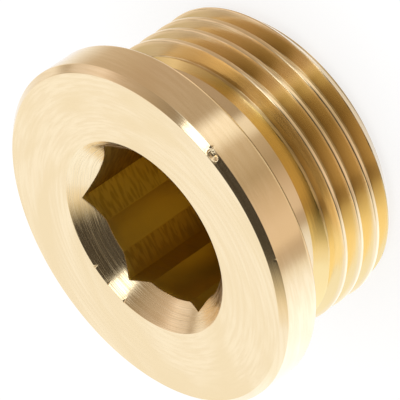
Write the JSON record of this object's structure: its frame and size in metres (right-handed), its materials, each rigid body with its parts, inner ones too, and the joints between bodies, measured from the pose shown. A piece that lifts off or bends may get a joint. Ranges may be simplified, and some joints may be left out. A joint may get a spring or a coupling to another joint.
{
  "type": "pipe plug",
  "caption": "Brass screw plug with a round collar, a hexagon socket and a parallel pipe thread that runs out in a relief groove, to close a threaded port.",
  "frame": {"origin": "centre of the thread's end face, on which the plug stands", "axes": "+Z along the turning axis, from the thread end to the collar; +X through a corner of the hexagon socket"},
  "size_m": [0.039, 0.039, 0.02],
  "materials": {
    "brass": "bright turned, with fine tool marks"
  },
  "bodies": {
    "root": {"plug_body": "brass"}
  },
  "joints": []
}
